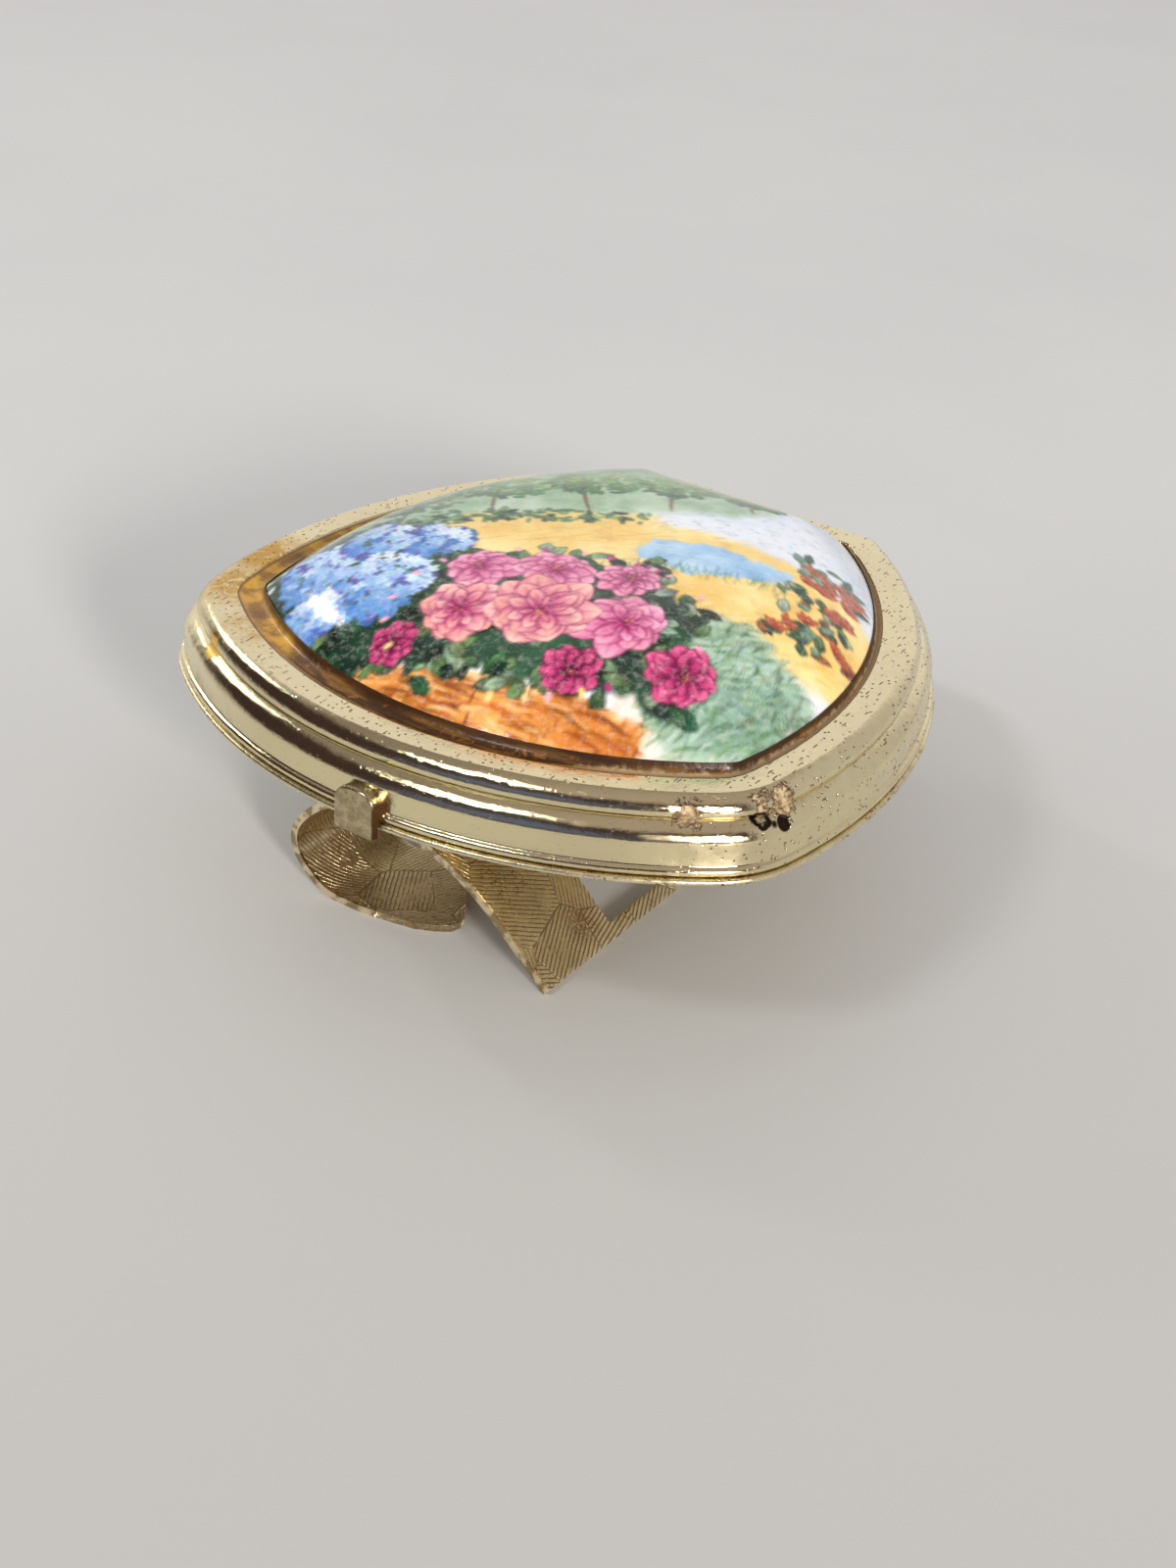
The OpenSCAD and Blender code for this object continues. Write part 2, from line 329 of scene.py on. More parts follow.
def where(test):
    return run[np.argmax(test)]


# how far along the strip the tongue ends and the windows begin and end
tongue_s = where(arc_line[:, 0] <= tongue[0, 0])
win_left = (where(arc_line[:, 0] <= -5.2), where((arc_line[:, 1] >= 5.6) & (run > 10)))
win_right = (where((arc_line[:, 0] >= 1.35) & (run > 20)),
             where((arc_line[:, 1] <= 0.98) & (run > 20)))
cuts = [0, tongue_s, win_left[0], win_left[1], win_right[0], win_right[1], run[-1]]
along = np.concatenate([np.linspace(a, b, max(3, int((b - a) / 0.18)), endpoint=False)
                        for a, b in zip(cuts[:-1], cuts[1:])] + [[run[-1]]])
inner = BAND_W / 2 - LEG_W
half_v = np.concatenate([np.linspace(0, inner, 14, endpoint=False),
                         np.linspace(inner, BAND_W / 2, 26)])
across_v = np.concatenate([-half_v[:0:-1], half_v])
v_grid, s_grid = np.meshgrid(across_v, along)
end_x = np.interp(np.abs(v_grid), tongue[::-1, 1], tongue[::-1, 0])
in_tongue = s_grid < tongue_s
end_s = bend[0, 0] - end_x
s_true = np.where(in_tongue, end_s + (tongue_s - end_s) * s_grid / tongue_s, s_grid)
bx, bz, nx, nz = on_band(s_true)
outer = np.stack([bx, v_grid + BAND_MID - MIDDLE_Y, bz], -1).reshape(-1, 3) * MM
inner_face = outer + np.stack([nx, 0 * nx, nz], -1).reshape(-1, 3) * SHEET * MM
rows, cols = s_grid.shape
keep = np.ones((rows - 1, cols - 1), bool)
s_mid, v_mid = (along[1:] + along[:-1]) / 2, (across_v[1:] + across_v[:-1]) / 2
for a, b in (win_left, win_right):
    keep &= ~(((s_mid > a) & (s_mid < b))[:, None] & (np.abs(v_mid) < inner)[None])
count = rows * cols
faces = []
for r, c in zip(*np.nonzero(keep)):
    a = r * cols + c
    quad = [a, a + 1, a + cols + 1, a + cols]
    faces.append(quad)
    faces.append([i + count for i in quad[::-1]])
    for dr, dc, e in ((-1, 0, (0, 1)), (0, 1, (1, 2)), (1, 0, (2, 3)), (0, -1, (3, 0))):
        rr, cc = r + dr, c + dc
        if not (0 <= rr < rows - 1 and 0 <= cc < cols - 1 and keep[rr, cc]):
            i, j = quad[e[0]], quad[e[1]]
            faces.append([j, i, i + count, j + count])
shank = new_piece("shank", np.concatenate([outer, inner_face]), faces, 30)
sheet_uv = shank.data.uv_layers.new(name="sheet")
flat_s = np.concatenate([s_true.ravel(), s_true.ravel() + INSIDE_SHIFT])
flat_v = np.concatenate([v_grid.ravel(), v_grid.ravel()])
corner = np.empty(len(shank.data.loops), dtype=np.int32)
shank.data.loops.foreach_get("vertex_index", corner)
sheet_uv.data.foreach_set("uv", np.stack([flat_s[corner], flat_v[corner]], 1).ravel())

SHARP = math.radians(40)


def tidy_mesh(piece, width=0.0, segments=2):
    """merges doubles, turns faces outward and rounds the sharp edges"""
    work = bmesh.new()
    work.from_mesh(piece.data)
    bmesh.ops.remove_doubles(work, verts=work.verts, dist=1e-6)
    bmesh.ops.dissolve_degenerate(work, edges=work.edges, dist=1e-7)
    bmesh.ops.recalc_face_normals(work, faces=work.faces)
    if width:
        hard = [e for e in work.edges if len(e.link_faces) == 2 and e.calc_face_angle(0) > SHARP]
        bmesh.ops.bevel(work, geom=hard, offset=width, segments=segments,
                        affect="EDGES", profile=0.5, clamp_overlap=True)
    work.to_mesh(piece.data)
    work.free()
    piece.data.polygons.foreach_set("use_smooth", [True] * len(piece.data.polygons))
    piece.data.set_sharp_from_angle(angle=SHARP)


tidy_mesh(shank, 0.00009)
engraved_brass = old_brass("engraved_brass", True)
shank.data.materials.append(engraved_brass)
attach(shank, "case")

# The hinge: three rolled brass knuckles on a plain pin, soldered behind
# the straight end of the case, two to the tray and the middle one to the lid.
KNUCKLE_R, PIN_R, KNUCKLE_L, PLAY = 0.7, 0.3, 2.2, 0.05
HINGE_Y, HINGE_Z = BACK_Y + KNUCKLE_R + 0.05, 0.35


def turned(name, profile, sides=48):
    """a solid turned about the hinge line from [along, radius] points"""
    a = 2 * math.pi * np.arange(sides) / sides
    points = [np.stack([np.full(sides, x), HINGE_Y + r * np.cos(a),
                        HINGE_Z + r * np.sin(a)], 1) for x, r in profile]
    points = (np.concatenate(points) + [0, -MIDDLE_Y, RIM_HEIGHT]) * MM
    piece = new_piece(name, points, ring_faces(sides, len(profile)), 40)
    tidy_mesh(piece)
    return piece


def knuckle_tree():
    """rolled knuckles in a row along the hinge line, and the keys of their sizes"""
    tree = bpy.data.node_groups.new("rolled_knuckles", "GeometryNodeTree")
    tree.interface.new_socket("Geometry", in_out="OUTPUT", socket_type="NodeSocketGeometry")
    keys = {name: tree.interface.new_socket(
        name, in_out="INPUT", socket_type="NodeSocket" + kind).identifier for name, kind in (
            ("Roll radius", "Float"), ("Sheet", "Float"), ("Length", "Float"),
            ("Eased edge", "Float"), ("Count", "Int"), ("Pitch", "Float"),
            ("Line", "Vector"), ("Metal", "Material"))}
    size = put(tree, "NodeGroupInput").outputs
    roll = put(tree, "GeometryNodeCurvePrimitiveCircle",
               {"Resolution": 48, "Radius": size["Roll radius"]}, mode="RADIUS").outputs["Curve"]
    wall = put(tree, "GeometryNodeCurvePrimitiveQuadrilateral",
               {"Width": size["Sheet"], "Height": size["Length"]}).outputs["Curve"]
    wall = put(tree, "GeometryNodeFilletCurve",
               {"Curve": wall, "Count": 3, "Radius": size["Eased edge"]}, mode="POLY").outputs[0]
    rolled = put(tree, "GeometryNodeCurveToMesh",
                 {"Curve": roll, "Profile Curve": wall}).outputs[0]
    rolled = put(tree, "GeometryNodeTransform",
                 {"Geometry": rolled, "Rotation": (0.0, math.pi / 2, 0.0)}).outputs[0]
    first = times(times(size["Pitch"], -0.5), minus(size["Count"], 1.0))
    start = vectors("ADD", size["Line"], put(tree, "ShaderNodeCombineXYZ", {0: first}).outputs[0])
    step = put(tree, "ShaderNodeCombineXYZ", {0: size["Pitch"]}).outputs[0]
    row = put(tree, "GeometryNodeMeshLine",
              {"Count": size["Count"], "Start Location": start, "Offset": step},
              mode="OFFSET").outputs[0]
    row = put(tree, "GeometryNodeInstanceOnPoints", {"Points": row, "Instance": rolled}).outputs[0]
    row = put(tree, "GeometryNodeRealizeInstances", {"Geometry": row}).outputs[0]
    row = put(tree, "GeometryNodeSetMaterial",
              {"Geometry": row, "Material": size["Metal"]}).outputs[0]
    tree.links.new(row, put(tree, "NodeGroupOutput").inputs[0])
    return tree, keys


KNUCKLES, KNUCKLE_SIZES = knuckle_tree()


def from_nodes(name, tree, keys, sizes):
    """the plain mesh that a shape tree gives for these sizes"""
    made = bpy.data.objects.new(name, bpy.data.meshes.new(name + "_start"))
    bpy.context.scene.collection.objects.link(made)
    shaping = made.modifiers.new("shape", "NODES")
    shaping.node_group = tree
    for key, value in sizes.items():
        shaping[keys[key]] = value
    depsgraph = bpy.context.evaluated_depsgraph_get()
    mesh = bpy.data.meshes.new_from_object(made.evaluated_get(depsgraph))
    made.modifiers.clear()
    made.data = mesh
    mesh.name = name
    return made


def knuckles(name, length, count, metal):
    bore = PIN_R + 0.04
    made = from_nodes(name, KNUCKLES, KNUCKLE_SIZES, {
        "Roll radius": (KNUCKLE_R + bore) / 2 * MM, "Sheet": (KNUCKLE_R - bore) * MM,
        "Length": length * MM, "Eased edge": 0.07 * MM, "Count": count,
        "Pitch": 2 * KNUCKLE_L * MM, "Metal": metal,
        "Line": (0.0, (HINGE_Y - MIDDLE_Y) * MM, (HINGE_Z + RIM_HEIGHT) * MM)})
    tidy_mesh(made)
    return made


def block(name, low, high):
    """a small flat tab of sheet with eased edges, in mm of the case"""
    x, y, z = zip(low, high)
    points = np.array([(a, b, c) for c in z for b in y for a in x])
    faces = [(0, 2, 3, 1), (4, 5, 7, 6), (0, 1, 5, 4), (2, 6, 7, 3), (0, 4, 6, 2), (1, 3, 7, 5)]
    piece = new_piece(name, (points + [0, -MIDDLE_Y, RIM_HEIGHT]) * MM, faces)
    tidy_mesh(piece, 0.06 * MM, 3)
    return piece


half_k = KNUCKLE_L / 2
tray_bits = [knuckles("tray_knuckles", KNUCKLE_L - PLAY, 2, plain_brass)]
for side, which in ((-1, "left"), (1, "right")):
    a, b = (side * KNUCKLE_L + end * (half_k - PLAY / 2) for end in (-1, 1))
    leaf = block("tray_leaf_" + which, (a, BACK_Y - 1, 0.01), (b, BACK_Y + 0.3, 0.31))
    leaf.data.materials.append(plain_brass)
    tray_bits.append(leaf)
for bit in tray_bits:
    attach(bit, "case")
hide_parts("base")
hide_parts("base")

pin_end = 3 * half_k + 0.15
pin = turned("pin", [(-pin_end, 0.18), (-pin_end + 0.04, 0.26), (-pin_end + 0.12, PIN_R),
                     (pin_end - 0.12, PIN_R), (pin_end - 0.04, 0.26), (pin_end, 0.18)])
pin.data.materials.append(plain_brass)
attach(pin, "case")
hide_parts("hinge_pin")

# The lid: a deep stamping of gilt brass. A bead and a plain wall rise from
# the rim to two rounded mouldings and a flat ledge, and the middle is
# sunk to a seat for the plaque. A thumb tab is soldered on in front.
LID_Z, LEDGE_Z, RECESS, SEAT_Z = 0.38, 3.96, 3.18, 3.1
lid_section = (
    [(1.1, 2.3), (1.0, 2.1), (1.0, 0.5), (0.9, LID_Z), (0.5, LID_Z)]
    + round_edge(0.34, LID_Z + 0.22, 0.22, -80, 75, 12)
    + [(0.345, 0.85), (0.36, 0.92), (0.37, 1.3), (0.365, 1.7), (0.355, 2.0), (0.355, 2.022)]
    + round_edge(1.601, 1.696, 1.29, 15, 70, 18)
    + [(1.165, 2.915), (1.155, 2.928), (1.11, 2.94), (1.085, 2.965), (1.07, 3.1), (1.065, 3.2)]
    + round_edge(2.0795, 2.961, 1.05, 15, 72, 18)
    + [(1.775, LEDGE_Z + 0.002), (1.85, LEDGE_Z + 0.004), (2.4, LEDGE_Z), (3.0, LEDGE_Z - 0.01)]
    + round_edge(3.06, LEDGE_Z - 0.13, 0.12, 90, 180, 5)[1:]
    + [(RECESS, 3.4), (RECESS, SEAT_Z), (3.6, SEAT_Z)])
lid_rings = swept(lid_section, 14)
lid = new_piece("lid_shell", np.concatenate(lid_rings),
                ring_faces(len(lid_rings[0]), len(lid_rings)), 50)


def marks(place, spots):
    """how near a point is to any of the [x, y, z, radius] spots, in mm"""
    near = None
    for x, y, z, r in spots:
        one = between(vectors("DISTANCE", place, (x, y, z), "Value"), 0.0, r, 1.0, 0.0)
        near = one if near is None else larger(near, one)
    return near


def gilt(name, tarnish=0.0):
    """bright pale gilding, pitted and scratched where hands have worn it; with tarnish, its right
    side face is also painted in shade
    """
    finish, tree, shader, place = start_finish(name)
    broad = rough(place, 0.22, 3.0)
    fine = rough(place, 3.2, 6.0, 0.66)
    colour = blend(between(broad, 0.35, 0.65), (0.86, 0.76, 0.46, 1), (0.82, 0.71, 0.44, 1))
    side = parts_of(place)
    handled = between(plus(side[0], times(side[1], 0.3)), 9.0, 14.0)
    level = between(side[2], RIM_HEIGHT + LEDGE_Z - 0.06, RIM_HEIGHT + LEDGE_Z - 0.02)
    handled = larger(handled, times(level, 0.75))
    pits = put(tree, "ShaderNodeTexVoronoi",
               {"Vector": place, "Scale": 3.0, "Randomness": 1.0}).outputs[0]
    sparse = between(rough(place, 0.9, 3.0), 0.38, 0.50)
    sparse = times(sparse, between(handled, 0.0, 1.0, 0.15, 1.0))
    pit = times(between(pits, 0.12, 0.24, 1.0, 0.0), sparse)
    drawn = vectors("MULTIPLY", place, (5.0, 0.9, 3.0))
    nick = put(tree, "ShaderNodeTexVoronoi",
               {"Vector": drawn, "Scale": 0.8, "Randomness": 1.0}).outputs[0]
    rubbed = times(handled, between(rough(place, 0.5, 2.0), 0.34, 0.48))
    pit = larger(pit, times(between(nick, 0.09, 0.19, 1.0, 0.0), rubbed))
    grey = between(rough(place, 1.3, 5.0, 0.7), 0.46, 0.70, 0.0, 0.18)
    colour = blend(times(grey, handled), colour, (0.50, 0.45, 0.33, 1))
    if tarnish:
        stain = between(rough(place, 1.8, 5.0, 0.7), 0.38, 0.60, tarnish * 0.55, tarnish)
        colour = blend(stain, colour, (0.28, 0.21, 0.11, 1))
        # painted shade: the tab's right side face, from x 1.38 to 1.50 mm, is darkened nearly to
        # black and made rougher, standing in for the shade on the side turned from the lamps
        edge = between(side[0], 1.38, 1.50)
        colour = blend(edge, colour, (0.10, 0.05, 0.02, 1))
    resin = marks(place, ((-15.2, -10.2, 13.9, 3.4), (-12.6, -14.4, 13.0, 1.5),
                          (-11.0, -12.6, 13.9, 3.2), (-16.6, -6.6, 13.9, 3.6),
                          (2.6, -20.8, 13.9, 1.1)))
    resin = times(resin, between(rough(place, 0.9, 5.0, 0.7, 0.6), 0.34, 0.56))
    colour = blend(times(resin, 1.3), colour, (0.62, 0.36, 0.07, 1))
    flake = marks(place, ((17.3, -9.95, 13.15, 1.4), (16.55, -10.9, 13.1, 1.35),
                          (14.35, -13.3, 12.9, 1.6)))
    ragged = times(rough(place, 2.2, 5.0, 0.75), 1.7)
    torn = plus(flake, plus(ragged, -0.35))
    colour = blend(between(torn, 0.88, 0.96), colour, (0.10, 0.055, 0.025, 1))
    flake = between(torn, 0.98, 1.04)
    scab = blend(between(rough(place, 2.6, 4.0, 0.7), 0.38, 0.62),
                 (0.17, 0.11, 0.05, 1), (0.62, 0.47, 0.27, 1))
    colour = blend(flake, colour, scab)
    drop = plus(marks(place, ((-12.7, -14.9, 12.9, 1.2),)),
                times(rough(place, 3.0, 4.0, 0.7), 1.1))
    drop = between(drop, 0.95, 1.05)
    colour = blend(drop, colour, (0.60, 0.36, 0.04, 1))
    dent = plus(marks(place, ((16.95, -11.3, 12.5, 0.85),)),
                times(rough(place, 3.0, 3.0, 0.7), 0.5))
    ring = times(between(dent, 0.42, 0.5), between(dent, 0.72, 0.84, 1.0, 0.0))
    smear = marks(place, ((17.75, -10.45, 12.4, 0.6), (17.4, -10.9, 12.35, 0.5),
                          (15.3, -12.6, 13.2, 0.6)))
    smear = times(smear, between(rough(place, 2.6, 4.0, 0.7), 0.30, 0.42))
    ring = larger(ring, between(smear, 0.12, 0.3))
    colour = blend(times(pit, 0.85), colour, (0.14, 0.08, 0.03, 1))
    colour = blend(ring, colour, (0.03, 0.018, 0.01, 1))
    pit = larger(pit, times(ring, 0.6))
    shine = between(fine, 0.35, 0.75, 0.05, 0.16)
    for mark, dull in ((pit, 0.35), (resin, 0.15), (flake, 0.5)):
        shine = plus(shine, times(mark, dull))
    if tarnish:
        shine = plus(plus(shine, times(stain, 0.25)), times(edge, 0.4))
    normal = bump(rough(place, 0.6, 2.0, 0.5), 0.00012, 0.5)
    normal = bump(fine, 0.00004, 0.4, normal)
    normal = bump(rough(place, 9.0, 3.0, 0.6), 0.00001, 0.5, normal)
    frosted = marks(place, ((-10.5, -16.5, 12.8, 6.5), (13.6, -13.8, 12.8, 4.0)))
    frosted = times(frosted, rough(place, 6.0, 4.0, 0.7))
    normal = bump(frosted, 0.00002, 0.55, normal)
    scale = larger(flake, drop)
    normal = bump(minus(scale, pit), 0.00005, 0.7, normal)
    metal = between(scale, 0.2, 0.8, 1.0, 0.3)
    plug(shader, {"Base Color": colour, "Roughness": shine, "Normal": normal, "Metallic": metal})
    return finish


lid_gilt = gilt("lid_gilt")
lid.data.materials.append(lid_gilt)
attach(lid, "lid")
front_y = END_C[1] - END_R
lid_knuckle = knuckles("lid_knuckle", KNUCKLE_L - 2 * PLAY, 1, lid_gilt)
lid_leaf = block("lid_leaf", (-half_k + PLAY, BACK_Y - 0.8, LID_Z + 0.05),
                 (half_k - PLAY, BACK_Y + 0.38, LID_Z + 0.39))

TAB_W, TAB_OUT, TAB_X, TAB_GAP = 2.4, 0.38, 0.36, 0.06
tab_edge = ([(-TAB_W / 2, 0.3), (-TAB_W / 2, -0.3), (-TAB_W / 2 + 0.12, -0.45),
             (TAB_W / 2 - 0.12, -0.45), (TAB_W / 2, -0.33), (TAB_W / 2, 0.3)]
            + [(TAB_W / 2 * math.copysign(abs(math.cos(a)) ** 0.8, math.cos(a)),
                0.9 + 1.09 * math.sin(a) ** 0.8) for a in np.linspace(0.05, math.pi - 0.05, 23)])
tab_edge = np.array(tab_edge)
tab_rings = []
for y, grow in ((0.5, -0.04), (-TAB_GAP + 0.0001, 0.0), (-TAB_GAP, 0.0), (-TAB_OUT + 0.1, 0.0),
                (-TAB_OUT + 0.05, -0.015), (-TAB_OUT + 0.015, -0.05), (-TAB_OUT, -0.1),
                (-TAB_OUT + 0.01, -0.3)):
    z = (tab_edge[:, 1] - 0.75) * (1 + grow) + 0.75
    back = np.full(len(tab_edge), front_y + y)
    if y > -TAB_GAP:
        z = np.maximum(z, LID_Z + 0.1)
    ring = np.stack([tab_edge[:, 0] * (1 + grow) + TAB_X, back, z], 1)
    tab_rings.append((ring + [0, -MIDDLE_Y, RIM_HEIGHT]) * MM)
tab = new_piece("thumb_tab", np.concatenate(tab_rings),
                ring_faces(len(tab_edge), len(tab_rings)), 60)
tidy_mesh(tab)
lid_leaf.data.materials.append(lid_gilt)
tab.data.materials.append(gilt("tab_gilt", 0.8))
for bit in (lid_knuckle, lid_leaf, tab):
    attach(bit, "lid")
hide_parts("lid_frame")

# The cement: clear amber resin run into the recess round the plaque,
# brown where it is deep, drawn up against the plaque and the ledge.
PLAQUE_IN, PLAQUE_X, PLAQUE_Y = 4.12, 0.45, 0.25
outer_line = shield(RECESS - 0.08, *corner_radii(RECESS))
inner_line = shield(PLAQUE_IN - 0.02, 1.22, 0.92) + [PLAQUE_X, PLAQUE_Y]
cement_path = np.array([                  # share of the way in, height, depth
    [0.0, 3.15, 0], [0.0, 3.86, 0.5], [0.10, 3.87, 1], [0.28, 3.74, 2], [0.55, 3.68, 3.2],
    [0.8, 3.80, 4.4], [0.93, 4.02, 5], [1.0, 4.22, 5.6], [1.02, 3.15, 6.2]])
cement_rings = [at_height(outer_line * (1 - t) + inner_line * t, z) for t, z, _ in cement_path]
n = len(outer_line)
faces = ring_faces(n, len(cement_rings), caps=False)
last = (len(cement_rings) - 1) * n
faces += [[last + i, last + (i + 1) % n, (i + 1) % n, i] for i in range(n)]
cement = new_piece("cement_bed", np.concatenate(cement_rings), faces, 60)
depth_in = cement.data.attributes.new("depth_in", "FLOAT", "POINT")
depth_in.data.foreach_set("value", np.repeat(cement_path[:, 2].astype(np.float32), n))
tidy_mesh(cement)


def amber(name):
    """aged resin: nearly black where deep, gold on the left, tan where thin"""
    finish, tree, shader, place = start_finish(name)
    flat = vectors("MULTIPLY", place, (0.45, 0.45, 0.0))
    depth = put(tree, "ShaderNodeAttribute", attribute_name="depth_in").outputs["Fac"]
    streak = vectors("ADD", flat, put(tree, "ShaderNodeCombineXYZ", {2: depth}).outputs[0])
    cloud = rough(streak, 0.7, 3.0, 0.5, 0.2)
    fine = rough(place, 1.7, 4.0, 0.6, 0.5)
    colour = blend(between(cloud, 0.46, 0.70), (0.045, 0.017, 0.004, 1), (0.18, 0.080, 0.012, 1))
    colour = blend(between(fine, 0.56, 0.74, 0.0, 0.5), colour, (0.44, 0.19, 0.03, 1))
    right = between(parts_of(place)[0], 6.0, 11.0)
    film = minus(plus(depth, times(fine, 3.0)), times(right, 2.4))
    thin = blend(right, (0.36, 0.19, 0.04, 1), (0.44, 0.30, 0.16, 1))
    colour = blend(between(film, 2.6, 4.0, 0.9, 0.0), colour, thin)
    left = marks(place, ((-15.0, -9.0, 13.8, 6.0), (-10.5, -13.2, 13.8, 3.6),
                         (-14.5, -2.0, 13.8, 5.0)))
    gold = blend(between(rough(place, 0.8, 3.0), 0.38, 0.62),
                 (0.27, 0.125, 0.014, 1), (0.55, 0.29, 0.025, 1))
    colour = blend(times(left, 1.6), colour, gold)
    colour = blend(between(depth, 0.8, 1.5, 0.8, 0.0), colour, (0.11, 0.055, 0.03, 1))
    colour = blend(between(depth, 4.4, 5.2, 0.0, 0.8), colour, (0.03, 0.013, 0.006, 1))
    plug(shader, {"Base Color": colour, "Normal": bump(fine, 0.0001, 0.45), "Roughness": 0.3,
                  "Specular IOR Level": 0.25, "Coat Weight": 0.1})
    return finish


cement.data.materials.append(amber("amber_resin"))
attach(cement, "lid")
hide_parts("cement")

# The plaque: a flat-topped porcelain dome with steep rounded shoulders,
# painted with a garden in flower and fired under a clear glaze.
PLAQUE_Z, DOME, SHOULDER = 4.12, 3.85, 4.0
plaque_edge = shield(PLAQUE_IN, 1.2, 0.9, 14)
steps = 1 - np.linspace(0, 1, 128)[:-1] ** 1.15
plaque_rings = [at_height(plaque_edge + [PLAQUE_X, PLAQUE_Y], SEAT_Z + 0.05)]
for k in steps:
    p = (plaque_edge - [0, 1]) * k + [PLAQUE_X, PLAQUE_Y + 1]
    plaque_rings.append(at_height(p, PLAQUE_Z + DOME * (1 - k ** SHOULDER)))
plaque = new_piece("plaque", np.concatenate(plaque_rings),
                   ring_faces(len(plaque_edge), len(plaque_rings)), 60)

# The picture's strokes are laid one by one on a flat canvas in mm, which
# the plaque's points then take their paint from.
PX, HALF = 20.0, 20.0         # canvas points to a millimetre, half its side
SIZE = int(2 * HALF * PX)
rng = np.random.default_rng(11)
across, up = np.meshgrid((np.arange(SIZE) + 0.5) / PX - HALF,
                         (np.arange(SIZE) + 0.5) / PX - HALF)
canvas = np.empty((SIZE, SIZE, 3))
canvas[:] = (0.88, 0.89, 0.91)


def cloudy(cell):
    """smooth unevenness from 0 to 1, in patches cell mm across"""
    grid = rng.uniform(0, 1, (int(2 * HALF / cell) + 3,) * 2)
    x, y = (across + HALF) / cell, (up + HALF) / cell
    i, j = x.astype(int), y.astype(int)
    x, y = x - i, y - j
    x, y = x * x * (3 - 2 * x), y * y * (3 - 2 * y)
    return ((grid[j, i] * (1 - x) + grid[j, i + 1] * x) * (1 - y)
            + (grid[j + 1, i] * (1 - x) + grid[j + 1, i + 1] * x) * y)


frayed = 0.9 * cloudy(1.6) + 0.5 * cloudy(0.5) + 0.2 * cloudy(0.2) - 0.8
pooled = 0.6 * cloudy(2.6) + 0.4 * cloudy(0.8)


def rgb(*v):
    return np.array(v) / 255


def wash(outline, colour, second, soft=0.5, strength=0.9):
    """a soft-edged patch of thin colour that pools into a second one"""
    within = np.zeros(across.shape, bool)
    near = np.full(across.shape, 99.0)
    for (a, b), (c, d) in zip(outline, outline[1:] + outline[:1]):
        within ^= ((b > up) != (d > up)) & (across < (c - a) * (up - b) / (d - b + 1e-9) + a)
        t = np.clip(((across - a) * (c - a) + (up - b) * (d - b))
                    / ((c - a) ** 2 + (d - b) ** 2), 0, 1)
        near = np.minimum(near, np.hypot(across - a - t * (c - a), up - b - t * (d - b)))
    depth = np.where(within, near, -near) + frayed
    m = (np.clip(depth / soft + 0.5, 0, 1) * strength)[..., None]
    k = np.clip(pooled * 2 - 0.5, 0, 1)[..., None]
    canvas[:] = canvas * (1 - m) + (colour * (1 - k) + second * k) * m


def window(p, q, reach):
    """the part of the canvas round p, q: its slices and mm from there"""
    cx, cy, reach = (p + HALF) * PX, (q + HALF) * PX, reach * PX + 2
    x0, x1 = int(max(cx - reach, 0)), int(min(cx + reach + 1, SIZE))
    y0, y1 = int(max(cy - reach, 0)), int(min(cy + reach + 1, SIZE))
    if x0 >= x1 or y0 >= y1:
        return None
    return (slice(y0, y1), slice(x0, x1)), *np.meshgrid(
        (np.arange(x0, x1) - cx) / PX, (np.arange(y0, y1) - cy) / PX)


def dab(p, q, length, width, angle, colour, strength=0.9, bow=0.0):
    """one pull of the brush: centre, half length and half width in mm"""
    part = window(p, q, length + abs(bow) + width)
    if part is None:
        return
    at, x, y = part
    c, s = math.cos(angle), math.sin(angle)
    u, v = (x * c + y * s) / length, y * c - x * s
    full = np.sqrt(np.clip(1 - u * u, 0, 1))
    v = (v - bow * (1 - u * u)) / (width * full + 1e-6)
    m = (np.clip((1 - np.abs(v)) * width * PX * 0.9, 0, 1) * (np.abs(u) < 1)
         * strength)[..., None]
    canvas[at] = canvas[at] * (1 - m) + colour * m


def petal(p, q, length, width, angle, foot, tip, line, veins=3, blunt=0.6, curl=0.0):
    """a petal or leaf from its foot at p, q, with veins and a drawn edge"""
    part = window(p, q, length * 1.05 + width)
    if part is None:
        return
    at, x, y = part
    c, s = math.cos(angle), math.sin(angle)
    u, v = (x * c + y * s) / length, y * c - x * s
    on = np.clip(u, 0, 1)
    v = v - curl * length * on * (1 - on) * 2
    half = width * np.sin(np.pi * on ** (1.5 - blunt * 0.5)) ** blunt
    inside_by = half - np.abs(v)
    m = (np.clip(inside_by * PX, 0, 1) * (u > 0) * (u < 1))[..., None]
    vein = (0.5 + 0.5 * np.cos(v / (half + 1e-6) * veins * math.pi)) ** 5 * (1 - on * 0.7)
    tone = foot * (1 - on[..., None]) + tip * on[..., None]
    tone = tone * (1 - 0.5 * vein[..., None]) + line * 0.5 * vein[..., None]
    rim = np.clip(2.6 - inside_by * PX, 0, 1)[..., None] * 0.8
    tone = tone * (1 - rim) + line * rim
    canvas[at] = canvas[at] * (1 - m) + tone * m


def pick(colours):
    return np.clip(colours[rng.integers(len(colours))] + rng.normal(0, 0.02, 3), 0, 1)


def scatter(outline, count):
    """random places inside an outline"""
    xs, ys = zip(*outline)
    while count:
        p, q = rng.uniform(min(xs), max(xs)), rng.uniform(min(ys), max(ys))
        hit = False
        for (a, b), (c, d) in zip(outline, outline[1:] + outline[:1]):
            if (b > q) != (d > q) and p < (c - a) * (q - b) / (d - b) + a:
                hit = not hit
        if hit:
            count -= 1
            yield p, q


def strokes(outline, count, length, width, angle, spread, colours, strength=0.8, bow=0.0):
    for p, q in scatter(outline, count):
        dab(p, q, length * rng.uniform(0.6, 1.3), width * rng.uniform(0.7, 1.2),
            angle + rng.normal(0, spread), pick(colours), strength,
            bow * rng.uniform(-1, 1))


